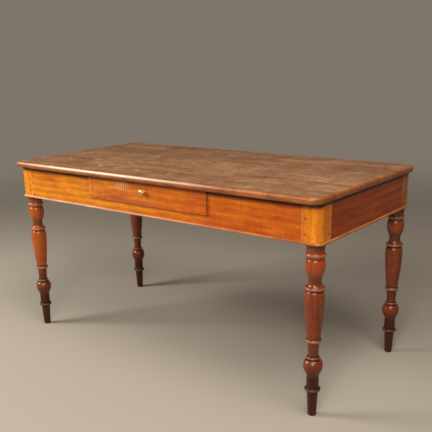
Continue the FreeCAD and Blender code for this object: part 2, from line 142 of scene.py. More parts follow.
def turned_leg(name):
    """The frame's post with a finer turning below it, let a hair into the post."""
    mesh = bmesh.new()
    mesh.from_mesh(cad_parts[name].data)
    bmesh.ops.remove_doubles(mesh, verts=mesh.verts, dist=WELD)
    cut = POST_FOOT + CUT_ABOVE_FOOT
    parts = mesh.verts[:] + mesh.edges[:] + mesh.faces[:]
    bmesh.ops.bisect_plane(mesh, geom=parts, plane_co=(0, 0, cut), plane_no=(0, 0, 1), clear_inner=True)
    rim = [edge for edge in mesh.edges if edge.is_boundary]
    bmesh.ops.holes_fill(mesh, edges=rim)
    low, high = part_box(name)
    middle = Vector(((low.x + high.x) / 2, (low.y + high.y) / 2, 0))
    let_in = cut + CUT_ABOVE_FOOT
    rows = [(0, let_in, 0), (NECK_DIAMETER / 2 * MM, let_in, 0)]
    rows += turned_outline(POST_FOOT, NECK_DIAMETER, TURNING)
    turn(mesh, rows, middle, Vector((0, 0, 1)))
    return new_piece(mesh, name + "_turned", "table", name)


def linear(hex_colour):
    """An sRGB hex colour as the linear colour that a socket takes."""
    parts = [int(hex_colour[i:i + 2], 16) / 255 for i in (1, 3, 5)]
    return tuple(c / 12.92 if c <= 0.04045 else ((c + 0.055) / 1.055) ** 2.4 for c in parts) + (1,)


def put(tree, kind, sockets, out=0, stops=None, **settings):
    """Adds one node with its settings and links, and gives back one of its outputs, or all for None.
    A Mix node's sockets go by number: 0 is the share, 2 and 3 are numbers, 6 and 7 are colours."""
    node = tree.nodes.new("ShaderNode" + kind)
    for name, value in settings.items():
        setattr(node, name, value)
    if stops:
        ramp = node.color_ramp.elements
        while len(ramp) < len(stops):
            ramp.new(1)
        for element, (place, colour) in zip(ramp, stops):
            element.position = place
            element.color = linear(colour)
    for name, value in sockets.items():
        if isinstance(value, bpy.types.NodeSocket):
            tree.links.new(value, node.inputs[name])
        else:
            node.inputs[name].default_value = value
    return node.outputs if out is None else node.outputs[out]


def new_material(name):
    """A material with nothing in its node tree yet."""
    material = bpy.data.materials.new(name)
    material.use_nodes = True
    material.node_tree.nodes.clear()
    return material, material.node_tree


# Layers of the grain: mm across and along it. Pores are drawn three times too wide, to show.
# The grain of a whole board wanders over longer stretches, given in the same way.
LAYERS = {"fine": (2.4, 90), "broad": (11, 420), "clouds": (65, 150), "ripple": (60, 9),
          "pores": (1.7, 20)}
WANDER_ACROSS, WANDER_ALONG = 111, 625
TURN_TO_GRAIN = {"length": (0, 0, 0), "width": (0, 0, -pi / 2), "height": (0, pi / 2, 0)}


def board_grain(tree, along, start, ring=24, bend=8, waver=4):
    """Layers of the grain of one board, whose place in the trunk is start; sizes are in mm."""
    place = put(tree, "TexCoord", {}, "Object")
    board = put(tree, "Mapping", {0: place, "Rotation": TURN_TO_GRAIN[along],
                                  "Location": [s * MM for s in start]})
    slow = [1 / (s * MM) for s in (WANDER_ALONG, WANDER_ACROSS, WANDER_ACROSS)]
    wander = put(tree, "Mapping", {0: board, "Scale": slow})
    drift = put(tree, "TexNoise", {"Vector": wander, "Scale": 1, "Detail": 2}, "Color")
    bent = put(tree, "VectorMath", {0: drift, 1: (0, bend * MM, bend * MM), 2: board},
               operation="MULTIPLY_ADD")
    rings = put(tree, "TexWave", {"Vector": bent, "Scale": pi / 10 / (ring * MM), "Distortion": waver,
                                  "Detail": 3, "Detail Scale": 0.5}, "Fac",
                wave_type="RINGS", rings_direction="X")
    grain = {"place": place, "rings": rings}
    for layer, (across, length) in LAYERS.items():
        size = [1 / (s * MM) for s in (length, across, across)]
        stretch = put(tree, "Mapping", {0: bent, "Scale": size})
        grain[layer] = put(tree, "TexNoise", {"Vector": stretch, "Scale": 1, "Detail": 6,
                                              "Roughness": 0.65}, "Fac")
    return grain


FIGURE = {"broad": 0.3, "fine": 0.4, "ripple": 0.22, "rings": 0.08}
TONE_PLACES = (0.38, 0.5, 0.62)


def wood_tone(tree, grain, tones, tint, pores=0.35, **shares):
    """The wood's colour under its polish: a figure of the named layers through the tones,
    clouded with the tint and speckled with dark pores."""
    figure = 0.0
    for layer, share in (shares or FIGURE).items():
        figure = put(tree, "Math", {0: grain[layer], 1: share, 2: figure}, operation="MULTIPLY_ADD")
    tone = put(tree, "ValToRGB", {0: figure}, stops=list(zip(TONE_PLACES, tones)))
    cloud = put(tree, "MapRange", {"Value": grain["clouds"], "From Min": 0.42, "From Max": 0.66})
    cloudy = put(tree, "Mix", {0: cloud, 6: tone, 7: linear(tint)}, 2,
                 data_type="RGBA", blend_type="MULTIPLY")
    pore = put(tree, "MapRange", {"Value": grain["pores"], "From Min": 0.56, "From Max": 0.7,
                                  "To Max": pores})
    return put(tree, "Mix", {0: pore, 6: cloudy, 7: linear(tones[0])}, 2,
               data_type="RGBA", blend_type="MULTIPLY")


def worn_edges(tree, colour, grain, bare, share, reach=3.0):
    """Arrises rubbed through to paler wood, in breaks along the edge."""
    face = put(tree, "NewGeometry", {}, "Normal")
    rounded = put(tree, "Bevel", {"Radius": reach * MM}, samples=8)
    turned = put(tree, "VectorMath", {0: rounded, 1: face}, "Value", operation="DOT_PRODUCT")
    edge = put(tree, "MapRange", {"Value": turned, "From Min": 0.99, "From Max": 0.86})
    broken = put(tree, "MapRange", {"Value": grain["clouds"], "From Min": 0.35, "From Max": 0.6,
                                    "To Min": 0.3})
    rubbed = put(tree, "Math", {0: edge, 1: broken}, operation="MULTIPLY")
    rubbed = put(tree, "Math", {0: rubbed, 1: share}, operation="MULTIPLY")
    return put(tree, "Mix", {0: rubbed, 6: colour, 7: linear(bare)}, 2, data_type="RGBA")


def dirt_and_painted_shade_in_nooks(tree, colour, dirt_and_shade, share, reach=9.0, sky=0.85):
    """Old wax and dirt that stays in the inner corners, and painted shade there."""
    open_sky = put(tree, "AmbientOcclusion", {"Distance": reach * MM}, "AO", only_local=True, samples=8)
    nook = put(tree, "MapRange", {"Value": open_sky, "From Min": sky, "From Max": 0.45,
                                  "To Max": share})
    return put(tree, "Mix", {0: nook, 6: colour, 7: linear(dirt_and_shade)}, 2, data_type="RGBA")


# The painted shadow of the top is deeper at the front and back, where the top reaches further out.
SHADE_AT_ENDS, SHADE_AT_FRONT = 14 * MM, 23 * MM
FRAME_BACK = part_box("leg_back_left")[1].y
DEEPENS, DEEPEST = FRAME_BACK - 20 * MM, FRAME_BACK - 6 * MM


def painted_shadow_below_top(tree, colour, grain, share=0.95):
    """A painted shadow: a dark strip just below the top."""
    spot = put(tree, "SeparateXYZ", {0: grain["place"]}, None)
    out = put(tree, "Math", {0: spot["Y"]}, operation="ABSOLUTE")
    shade = put(tree, "MapRange", {"Value": out, "From Min": DEEPENS, "From Max": DEEPEST,
                                   "To Min": SHADE_AT_ENDS, "To Max": SHADE_AT_FRONT})
    drop = put(tree, "Math", {0: TOP_UNDERSIDE, 1: spot["Z"]}, operation="SUBTRACT")
    drop = put(tree, "Math", {0: drop, 1: shade}, operation="DIVIDE")
    strip = put(tree, "MapRange", {"Value": drop, "From Min": 1, "From Max": 0.5, "To Max": share})
    return put(tree, "Mix", {0: strip, 6: colour, 7: linear("#120501")}, 2, data_type="RGBA")


def finished(tree, colour, grain, smooth, rough, relief=0.1, soft_edge=1.0, skin=1.42, shine=0.5):
    """The finish: gloss that follows the streaks, the low relief of the grain and softened arrises."""
    gloss = put(tree, "MapRange", {"Value": grain["broad"], "From Min": 0.35, "From Max": 0.65,
                                   "To Min": rough, "To Max": smooth})
    height = put(tree, "Mix", {0: 0.4, 2: grain["fine"], 3: grain["pores"]}, data_type="FLOAT")
    soft = put(tree, "Bevel", {"Radius": soft_edge * MM}, samples=8)
    bump = put(tree, "Bump", {"Height": height, "Distance": relief * MM, "Normal": soft})
    shader = put(tree, "BsdfPrincipled", {"Base Color": colour, "Roughness": gloss, "IOR": skin,
                                          "Specular IOR Level": shine, "Normal": bump})
    put(tree, "OutputMaterial", {"Surface": shader}, None)


def dress(node, material):
    """Gives a node of the frame its material."""
    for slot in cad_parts[node].material_slots:
        slot.material = material


# French polished mahogany: a clear glossy skin over red-brown wood, so each swell shows
# small sharp highlights. Light has faded the upper turning and the gold post, old wax
# and painted shade fill the hollows, the rings are rubbed and carry a painted highlight,
# and the scuffed foot is nearly black. The back posts' darker tones are painted shade.
TURNED_TONES = ("#521803", "#823406", "#C06412")
TURNED_FIGURE = {"fine": 0.25, "clouds": 0.4, "ripple": 0.2, "broad": 0.15}
# The back posts' darker tones are painted shade.
FRONT_POST, BACK_POST_IN_PAINTED_SHADE = ("#CA6E06", "#E0820C", "#EE9C20"), ("#8A4A10", "#A65E16", "#BC7626")
# A leg's place in the trunk, the level in mm where it begins to be faded, and its faded tones.
LEG_WOOD = {"leg_front_left": ((300, 40, 90), 230, ("#883403", "#B65806", "#DC8824")),
            "leg_front_right": ((1000, 100, 90), 400, ("#7E2803", "#AE4805", "#D67A1C")),
            "leg_back_right": ((1700, 160, 90), 430, ("#642203", "#8C3A06", "#B26018")),
            "leg_back_left": ((2400, 220, 90), 480, ("#501902", "#742F04", "#985012"))}
FADE_RISE = 120
# Old wax and painted shade in a hollow, under the bead and in the waists: mm below the post where it
# starts, is full, thins out and ends; share, colour.
HOLLOW_WAX_AND_SHADE = {"neck": ((-1, 0, 4, 30), 0.9, "#341004"),
              "waist": ((88, 118, 126, 142), 0.6, "#3A1404"),
              "stem": ((330, 345, 380, 392), 0.4, "#3A1404")}
# Levels on the leg, where a change starts and where it is full.
FOOT_DARKENS, FOOT_DARK = 195 * MM, 135 * MM
SCUFFS_START, SCUFFS_FULL = 140 * MM, 70 * MM
RINGS_DIRTY, RINGS_BARE = 100 * MM, 260 * MM
FOOT_DULL, LEG_GLOSSY = 130 * MM, 200 * MM
POST_TURNS_GOLD = POST_FOOT - 3 * MM
SPECK = 9
post_low, post_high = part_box("leg_front_right")
POST_INNER_SIDE = {"X": post_low.x, "Y": -post_high.y}
JOINT_FADES, JOINT_PALE = 3 * MM, 1.5 * MM


def between(tree, value, places, share):
    """A share that rises from the first place to the second and falls from the third to the last."""
    start, full, thin, end = places
    rise = put(tree, "MapRange", {"Value": value, "From Min": start, "From Max": full, "To Max": share})
    fall = put(tree, "MapRange", {"Value": value, "From Min": end, "From Max": thin})
    return put(tree, "Math", {0: rise, 1: fall}, operation="MULTIPLY")


def turned_wood(tree, grain, height, fade_level, faded_tones):
    """The turning's red-brown wood, faded above a level, with wax and painted shade in its hollows."""
    turned = wood_tone(tree, grain, TURNED_TONES, "#A06C4C", **TURNED_FIGURE)
    faded = wood_tone(tree, grain, faded_tones, "#B88868", **TURNED_FIGURE)
    upper = put(tree, "MapRange", {"Value": height, "From Min": fade_level * MM,
                                   "From Max": (fade_level + FADE_RISE) * MM})
    colour = put(tree, "Mix", {0: upper, 6: turned, 7: faded}, 2, data_type="RGBA")
    for below_post, share, dirt_and_shade in HOLLOW_WAX_AND_SHADE.values():
        hollow = between(tree, height, [POST_FOOT - fall * MM for fall in below_post], share)
        colour = put(tree, "Mix", {0: hollow, 6: colour, 7: linear(dirt_and_shade)}, 2, data_type="RGBA")
    return colour


def post_wood(tree, grain, tones):
    """The post's golden wood, speckled brown where the polish has gone."""
    square = wood_tone(tree, grain, tones, "#ECD0B0", pores=0.8)
    specks = put(tree, "TexNoise", {"Vector": grain["place"], "Scale": 1 / (SPECK * MM), "Detail": 3,
                                    "Roughness": 0.7}, "Fac")
    specks = put(tree, "MapRange", {"Value": specks, "From Min": 0.55, "From Max": 0.7, "To Max": 0.6})
    return put(tree, "Mix", {0: specks, 6: square, 7: linear("#7A3A06")}, 2, data_type="RGBA")


def scuffed_foot(tree, colour, grain, height):
    """The foot, darkened by the floor's dirt and scuffed pale along the grain."""
    dark = put(tree, "MapRange", {"Value": height, "From Min": FOOT_DARKENS, "From Max": FOOT_DARK,
                                  "To Max": 0.85})
    colour = put(tree, "Mix", {0: dark, 6: colour, 7: linear("#2C1006")}, 2, data_type="RGBA")
    low = put(tree, "MapRange", {"Value": height, "From Min": SCUFFS_START, "From Max": SCUFFS_FULL,
                                 "To Max": 0.4})
    scuff = put(tree, "MapRange", {"Value": grain["pores"], "From Min": 0.52, "From Max": 0.66})
    scuff = put(tree, "Math", {0: scuff, 1: low}, operation="MULTIPLY")
    return put(tree, "Mix", {0: scuff, 6: colour, 7: linear("#7E563E")}, 2, data_type="RGBA")


def ring_wear_and_painted_highlight(tree, colour, height):
    """Crests of the rings, rubbed to paler wood with a painted highlight on them, and less so near the
    floor.
    """
    crest = put(tree, "Attribute", {}, "Fac", attribute_name=CREST_WEAR_AND_HIGHLIGHT)
    bare = put(tree, "MapRange", {"Value": crest, "From Min": 0.3, "From Max": 0.9})
    share = put(tree, "MapRange", {"Value": height, "From Min": RINGS_DIRTY, "From Max": RINGS_BARE,
                                   "To Min": 0.14, "To Max": 0.32})
    bare = put(tree, "Math", {0: bare, 1: share}, operation="MULTIPLY")
    return put(tree, "Mix", {0: bare, 6: colour, 7: linear("#B48A66")}, 2, data_type="RGBA")


def joint_lines(tree, colour, spot, post):
    """Pale lines on the post, along the shoulders of the aprons."""
    joint = 0.0
    for axis, inner in POST_INNER_SIDE.items():
        reach = put(tree, "Math", {0: spot[axis]}, operation="ABSOLUTE")
        line = put(tree, "MapRange", {"Value": reach, "From Min": inner + JOINT_FADES,
                                      "From Max": inner + JOINT_PALE, "To Max": 0.2})
        joint = put(tree, "Math", {0: line, 1: joint}, operation="MAXIMUM")
    joint = put(tree, "Math", {0: joint, 1: post}, operation="MULTIPLY")
    return put(tree, "Mix", {0: joint, 6: colour, 7: linear("#E4B878")}, 2, data_type="RGBA")


for name, (start, fade_level, faded_tones) in LEG_WOOD.items():
    material, tree = new_material("french_polished_mahogany_" + name)
    grain = board_grain(tree, "height", start)
    spot = put(tree, "SeparateXYZ", {0: grain["place"]}, None)
    height = spot["Z"]
    turned = turned_wood(tree, grain, height, fade_level, faded_tones)
    square = post_wood(tree, grain, BACK_POST_IN_PAINTED_SHADE if "back" in name else FRONT_POST)
    post = put(tree, "MapRange", {"Value": height, "From Min": POST_TURNS_GOLD, "From Max": POST_FOOT})
    colour = put(tree, "Mix", {0: post, 6: turned, 7: square}, 2, data_type="RGBA")
    colour = scuffed_foot(tree, colour, grain, height)
    # Rubbed crests of the rings, with a painted highlight on them.
    colour = ring_wear_and_painted_highlight(tree, colour, height)
    colour = worn_edges(tree, colour, grain, bare="#C98A58", share=0.45)
    colour = joint_lines(tree, colour, spot, post)
    # A painted shadow below the top.
    colour = painted_shadow_below_top(tree, colour, grain)
    # Old wax and painted shade in the hollows and nooks, near black in the tightest.
    colour = dirt_and_painted_shade_in_nooks(tree, colour, dirt_and_shade="#220A02", share=0.85, reach=60, sky=0.96)
    colour = dirt_and_painted_shade_in_nooks(tree, colour, dirt_and_shade="#0A0301", share=0.98, reach=14)
    shine = put(tree, "MapRange", {"Value": height, "From Min": FOOT_DULL, "From Max": LEG_GLOSSY,
                                   "To Min": 0.25, "To Max": 0.5})
    finished(tree, colour, grain, smooth=0.24, rough=0.32, skin=1.52, shine=shine)
    dress(name, material)
    turned_leg(name).data.materials.append(material)


# Aprons: four mahogany boards tenoned into the posts, the front one cut
# out for the drawer. Planed, stained and polished, and faded by light.
# The red tones, on the back and right aprons, are wood that has faded less, made darker as painted shade
# on the sides that face away from the lamps.
GOLDEN_TONES, RED_AND_SHADED_TONES = ("#B05C08", "#D07A0E", "#E49626"), ("#8A4010", "#A4541A", "#BA6C28")
APRONS = {"apron_front": ("length", (1150, 35, 160), GOLDEN_TONES),
          "apron_back": ("length", (950, -60, 120), RED_AND_SHADED_TONES),
          "apron_left": ("width", (500, 50, 140), GOLDEN_TONES),
          "apron_right": ("width", (1400, 25, 190), RED_AND_SHADED_TONES)}
GOLDEN_UP_TO, RED_FROM = -0.3, 0.3


def redder_to_right(tree, colour, grain, tint="#F0C898"):
    """Mahogany that has faded less towards the table's right end."""
    side = put(tree, "SeparateXYZ", {0: grain["place"]}, "X")
    share = put(tree, "MapRange", {"Value": side, "From Min": GOLDEN_UP_TO, "From Max": RED_FROM})
    return put(tree, "Mix", {0: share, 6: colour, 7: linear(tint)}, 2,
               data_type="RGBA", blend_type="MULTIPLY")


# Polished mahogany boards: orange-brown with long fine streaks and faint cross ripples,
# redder to the right, under a satin skin that gives broad dull highlights.
for name, (along, start, tones) in APRONS.items():
    material, tree = new_material("polished_mahogany_" + name)
    grain = board_grain(tree, along, start)
    colour = wood_tone(tree, grain, tones, "#E6C4A6")
    colour = redder_to_right(tree, colour, grain)
    colour = worn_edges(tree, colour, grain, bare="#E4B070", share=0.45)
    # Painted shade with dirt in the inner corners, and a painted shadow below the top.
    colour = dirt_and_painted_shade_in_nooks(tree, colour, dirt_and_shade="#2A1004", share=0.7)
    colour = painted_shadow_below_top(tree, colour, grain)
    finished(tree, colour, grain, smooth=0.26, rough=0.38)
    dress(name, material)


# Pegs: sixteen eight-sided oak pegs driven through the posts to lock the tenons.
# Their ends stand a hair proud of the post and have turned dark with wax.
# Oak end grain: close brown rings, satin where the polish has soaked in.
material, tree = new_material("oak_peg_end_grain")
grain = board_grain(tree, "width", (0, 0, 0), ring=2)
colour = wood_tone(tree, grain, ("#7A400C", "#9A5812", "#B06E20"), "#E0C0A0")
finished(tree, colour, grain, smooth=0.35, rough=0.5)
dress("tenon_pegs", material)


# Bead: a thin half-round mahogany strip, glued along the foot of each apron
# and mitred at the corners. Hands and knees have rubbed it pale, and its pale tones also
# paint the highlight that its round crown catches.
BEADS = {"bead_front": ("length", (60, 20, 30)), "bead_back": ("length", (800, 20, 30)),
         "bead_left": ("width", (300, 20, 30)), "bead_right": ("width", (1200, 20, 30))}

# Rubbed mahogany bead: pinkish bare wood on the crown and a painted highlight, so it reads as a pale
# line.
for name, (along, start) in BEADS.items():
    material, tree = new_material("rubbed_and_highlighted_mahogany_" + name)
    grain = board_grain(tree, along, start)
    colour = wood_tone(tree, grain, ("#B47A4C", "#D8A276", "#EAC49C"), "#E0C4AA")
    colour = redder_to_right(tree, colour, grain, tint="#DCB48C")
    # Painted shade with old wax in the nooks beside the bead.
    colour = dirt_and_painted_shade_in_nooks(tree, colour, dirt_and_shade="#3A1C0C", share=0.6, reach=5)
    finished(tree, colour, grain, smooth=0.25, rough=0.4)
    dress(name, material)


# Top: three wide boards joined by tongue and groove, with rounded corners
# and edges. Scrubbed, dulled and faded by use, with a painted highlight along the front edge.
TOP_BOARDS = {"top_board_front": (200, -35, 210), "top_board_middle": (1300, 60, 170),
              "top_board_back": (2400, -20, 240)}
TOP_FRONT, TOP_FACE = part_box("top_board_front")[0].y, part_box("top_board_front")[1].z
EDGE_UP_TO, FACE_FROM = TOP_FACE - 1.5 * MM, TOP_FACE - 0.2 * MM
EDGE_DARKENS, EDGE_DARK = TOP_FACE - 6 * MM, TOP_FACE - 19 * MM
# Where the painted highlight on the front edge lies, front to back and up and down.
HIGHLIGHT_BACK_LIMIT, HIGHLIGHT_FRONT_FULL = TOP_FRONT + 8 * MM, TOP_FRONT + 3 * MM
HIGHLIGHT_FADES_BELOW, HIGHLIGHT_FULL_ABOVE = TOP_FACE - 13 * MM, TOP_FACE - 5 * MM

# Sizes of the marks in mm, along and across the table; their outline wanders by a share of
# that. Scratches are drawn three times too wide, to show. Most use was at the left, where the
# marks gather, and the painted highlight lies left of the middle, so some values are places
# along the table, in metres from its middle.
PATINA, MOTTLE = 170, 26
MARK_ALONG, MARK_ACROSS, MARK_RAGGED = 130, 110, (0.5, 0.5, 0)
SCRATCH_LENGTH, SCRATCH_WIDTH, SCRATCH_SLANT = 160, 1.4, 0.6
FEW_MARKS, MANY_MARKS = 0.15, -0.35
HIGHLIGHT_FAINT_AT, HIGHLIGHT_STRONG_AT = 0.4, -0.1
CORNER_HIGHLIGHT_LOW, CORNER_HIGHLIGHT_FULL = -0.74, -0.42


def top_wood(tree, grain, height, flat):
    """The boards' brown face, and their redder edge, with painted shade that darkens it downwards."""
    face = wood_tone(tree, grain, ("#8A5E3E", "#9E724E", "#B0825C"), "#E8DACA", pores=0.5,
                     broad=0.2, fine=0.55, clouds=0.12, rings=0.13)
    edge = wood_tone(tree, grain, ("#904A1C", "#B0642C", "#C88044"), "#E2CAB4", fine=0.6, clouds=0.4)
    # Painted shade on the lower half of the edge, which turns under, away from the light.
    below = put(tree, "MapRange", {"Value": height, "From Min": EDGE_DARKENS, "From Max": EDGE_DARK,
                                   "To Max": 0.3})
    edge = put(tree, "Mix", {0: below, 6: edge, 7: linear("#54260E")}, 2, data_type="RGBA")
    return put(tree, "Mix", {0: flat, 6: edge, 7: face}, 2, data_type="RGBA")


def weathered(tree, colour, grain):
    """Grey-brown clouds of age over the wood, and a finer mottle in them."""
    patina = put(tree, "TexNoise", {"Vector": grain["place"], "Scale": 1 / (PATINA * MM), "Detail": 8,
                                    "Roughness": 0.72}, "Fac")
    patina = put(tree, "MapRange", {"Value": patina, "From Min": 0.38, "From Max": 0.64})
    colour = put(tree, "Mix", {0: patina, 6: colour, 7: linear("#D2C2AE")}, 2,
                 data_type="RGBA", blend_type="MULTIPLY")
    mottle = put(tree, "TexNoise", {"Vector": grain["place"], "Scale": 1 / (MOTTLE * MM), "Detail": 6,
                                    "Roughness": 0.75}, "Fac")
    mottle = put(tree, "MapRange", {"Value": mottle, "From Min": 0.44, "From Max": 0.6, "To Max": 0.8})
    return put(tree, "Mix", {0: mottle, 6: colour, 7: linear("#DACABA")}, 2,
               data_type="RGBA", blend_type="MULTIPLY")


def water_marks(tree, colour, grain, side):
    """Pale ragged marks where drops have dried, in some cells of a pattern."""
    cells = put(tree, "Mapping", {0: grain["place"],
                                  "Scale": (1 / (MARK_ALONG * MM), 1 / (MARK_ACROSS * MM), 0)})
    ragged = put(tree, "TexNoise", {"Vector": cells, "Scale": 4, "Detail": 3}, "Color")
    cells = put(tree, "VectorMath", {0: ragged, 1: MARK_RAGGED, 2: cells}, operation="MULTIPLY_ADD")
    drops = put(tree, "TexVoronoi", {"Vector": cells, "Scale": 1}, None, voronoi_dimensions="2D")
    drop = put(tree, "MapRange", {"Value": drops["Distance"], "From Min": 0.14, "From Max": 0.03})
    some = put(tree, "MapRange", {"Value": drops["Color"], "From Min": 0.6, "From Max": 0.66})
    mark = put(tree, "Math", {0: drop, 1: some}, operation="MULTIPLY")
    used = put(tree, "MapRange", {"Value": side, "From Min": FEW_MARKS, "From Max": MANY_MARKS,
                                  "To Min": 0.1, "To Max": 0.7})
    mark = put(tree, "Math", {0: mark, 1: used}, operation="MULTIPLY")
    return put(tree, "Mix", {0: mark, 6: colour, 7: linear("#D2AC86")}, 2, data_type="RGBA")


def scratches(tree, colour, grain):
    """Thin pale scratches aslant the grain."""
    slant = put(tree, "Mapping", {0: grain["place"], "Rotation": (0, 0, SCRATCH_SLANT),
                                  "Scale": (1 / (SCRATCH_LENGTH * MM), 1 / (SCRATCH_WIDTH * MM), 1)})
    lines = put(tree, "TexNoise", {"Vector": slant, "Scale": 1, "Detail": 1}, "Fac")
    scratch = put(tree, "MapRange", {"Value": lines, "From Min": 0.7, "From Max": 0.78, "To Max": 0.5})
    return put(tree, "Mix", {0: scratch, 6: colour, 7: linear("#D4B494")}, 2, data_type="RGBA")


def painted_highlight_on_front_edge(tree, colour, spot):
    """A painted highlight: a pale cream strip on the upper half of the front edge, left of the middle but
    not at the corner.
    """
    front = put(tree, "MapRange", {"Value": spot["Y"], "From Min": HIGHLIGHT_BACK_LIMIT, "From Max": HIGHLIGHT_FRONT_FULL})
    upper = put(tree, "MapRange", {"Value": spot["Z"], "From Min": HIGHLIGHT_FADES_BELOW, "From Max": HIGHLIGHT_FULL_ABOVE})
    left = put(tree, "MapRange", {"Value": spot["X"], "From Min": HIGHLIGHT_FAINT_AT, "From Max": HIGHLIGHT_STRONG_AT,
                                  "To Min": 0.05, "To Max": 0.7})
    corner = put(tree, "MapRange", {"Value": spot["X"], "From Min": CORNER_HIGHLIGHT_LOW,
                                    "From Max": CORNER_HIGHLIGHT_FULL, "To Min": 0.15})
    highlight_share = front
    for place in (upper, left, corner):
        highlight_share = put(tree, "Math", {0: highlight_share, 1: place}, operation="MULTIPLY")
    return put(tree, "Mix", {0: highlight_share, 6: colour, 7: linear("#E8C8A0")}, 2, data_type="RGBA")


# Faded mahogany top: brown with quiet grain and a thin dry polish that veils the colour
# at a low angle, with pale water marks and scratches; the rolled edge keeps its gloss.
for name, start in TOP_BOARDS.items():
    material, tree = new_material("faded_mahogany_" + name)
    grain = board_grain(tree, "length", start, ring=34, bend=14)
    spot = put(tree, "SeparateXYZ", {0: grain["place"]}, None)
    flat = put(tree, "MapRange", {"Value": spot["Z"], "From Min": EDGE_UP_TO, "From Max": FACE_FROM})
    colour = top_wood(tree, grain, spot["Z"], flat)
    colour = weathered(tree, colour, grain)
    colour = water_marks(tree, colour, grain, spot["X"])
    colour = scratches(tree, colour, grain)
    # A painted highlight along the upper front edge.
    colour = painted_highlight_on_front_edge(tree, colour, spot)
    colour = worn_edges(tree, colour, grain, bare="#D8A878", share=0.1)
    smooth = put(tree, "MapRange", {"Value": flat, "To Min": 0.28, "To Max": 0.4})
    rough = put(tree, "MapRange", {"Value": flat, "To Min": 0.36, "To Max": 0.54})
    finished(tree, colour, grain, smooth, rough, soft_edge=3, skin=1.46)
    dress(name, material)


# Glue blocks, runners, guides, stops and the drawer's box: plain pine pieces out of
# sight, which hold the boards to the aprons and carry the drawer. Planed, never polished.
LINING = {"glue_blocks": ("width", (0, 30, 60)), "drawer_runner_left": ("width", (100, 40, 80)),
          "drawer_runner_right": ("width", (500, 40, 80)), "drawer_guide_left": ("width", (900, 20, 50)),
          "drawer_guide_right": ("width", (1300, 20, 50)), "drawer_stops": ("length", (70, 30, 40)),
          "drawer_side_left": ("width", (200, 60, 90)), "drawer_side_right": ("width", (700, 60, 90)),
          "drawer_back": ("length", (400, 50, 70)), "drawer_bottom": ("length", (900, 620, 120))}

# Old pine: pale yellow-brown with darker late wood in wide rings, quite dull.
for name, (along, start) in LINING.items():
    material, tree = new_material("old_pine_" + name)
    grain = board_grain(tree, along, start, ring=9, waver=2.5)
    colour = wood_tone(tree, grain, ("#9A6C3C", "#BC8E58", "#CEA672"), "#D8C0A0",
                       rings=0.12, broad=0.44, fine=0.44)
    # Painted shade with dirt in the inner corners.
    colour = dirt_and_painted_shade_in_nooks(tree, colour, dirt_and_shade="#4A3018", share=0.5)
    finished(tree, colour, grain, smooth=0.55, rough=0.75, relief=0.2)
    dress(name, material)


# Nails: nine square-cut iron nails, six driven through the guides into the
# runners and three through the drawer's bottom into its back.
RUST_PATCH = 2

# Forged iron: dark grey-brown with a thin skin of rust.
material, tree = new_material("cut_nail_iron")
place = put(tree, "TexCoord", {}, "Object")
rust = put(tree, "TexNoise", {"Vector": place, "Scale": 1 / (RUST_PATCH * MM), "Detail": 4}, "Fac")
colour = put(tree, "ValToRGB", {0: rust}, stops=((0.35, "#2E2A27"), (0.7, "#6A4630")))
shader = put(tree, "BsdfPrincipled", {"Base Color": colour, "Metallic": 0.6, "Roughness": 0.6})
put(tree, "OutputMaterial", {"Surface": shader}, None)
for name in ("guide_nails", "bottom_nails"):
    dress(name, material)


# Drawer front: one mahogany board, lapped over the sides' dovetails. It stands a
# little proud, and hands have rubbed it: pale strokes, a dark stain, a bare left end.
STROKE = 12


def patch(tree, spot, across, up, soft, strength):
    """A soft-edged patch on the drawer front, between two places across and two levels, in mm."""
    share = strength
    for axis, (low, high) in (("X", across), ("Z", up)):
        places = [place * MM for place in (low, low + soft, high - soft, high)]
        share = between(tree, spot[axis], places, share)
    return share


# Polished mahogany board: like the aprons, but stained and handled, so duller.
material, tree = new_material("polished_mahogany_drawer_front")
grain = board_grain(tree, "length", (2100, 45, 150))
spot = put(tree, "SeparateXYZ", {0: grain["place"]}, None)
colour = wood_tone(tree, grain, ("#A85608", "#CE7610", "#E29028"), "#E0B898")
colour = redder_to_right(tree, colour, grain)
stain = patch(tree, spot, across=(-230, 60), up=(630, 672), soft=22, strength=0.55)
colour = put(tree, "Mix", {0: stain, 6: colour, 7: linear("#8C4630")}, 2, data_type="RGBA")
strokes = put(tree, "TexWave", {"Vector": grain["place"], "Scale": pi / 10 / (STROKE * MM),
                                "Distortion": 1.5, "Detail": 2, "Detail Scale": 1}, "Fac",
              bands_direction="X")
strokes = put(tree, "MapRange", {"Value": strokes, "From Min": 0.45, "From Max": 0.95})
rubbed = patch(tree, spot, across=(-165, -60), up=(672, 790), soft=40, strength=0.6)
rubbed = put(tree, "Math", {0: rubbed, 1: strokes}, operation="MULTIPLY")
colour = put(tree, "Mix", {0: rubbed, 6: colour, 7: linear("#E6C08C")}, 2, data_type="RGBA")
left_end = patch(tree, spot, across=(-299, -285), up=(660, 745), soft=6, strength=0.22)
colour = put(tree, "Mix", {0: left_end, 6: colour, 7: linear("#E2BE8A")}, 2, data_type="RGBA")
colour = worn_edges(tree, colour, grain, bare="#E0AC6C", share=0.6)
# A painted shadow below the top.
colour = painted_shadow_below_top(tree, colour, grain, share=0.45)
finished(tree, colour, grain, smooth=0.28, rough=0.42)
dress("drawer_front", material)


# Knob: a small brass mushroom, turned in one piece with its shank, which goes
# through the drawer front and is drawn up by a nut behind it.
KNOB_DOME = [("shoulder", 5, 24), ("straight", 1, 24)]
KNOB_NECK = [("shoulder", 6.5, 11), ("hollow", 3.5, 18)]
KNOB_LIP = [("straight", 0.5, 19), ("straight", 2, 19), ("straight", 0.5, 18)]
SHANK_DIAMETER = 6
TARNISH, POLISH_LEFT = 6, 8

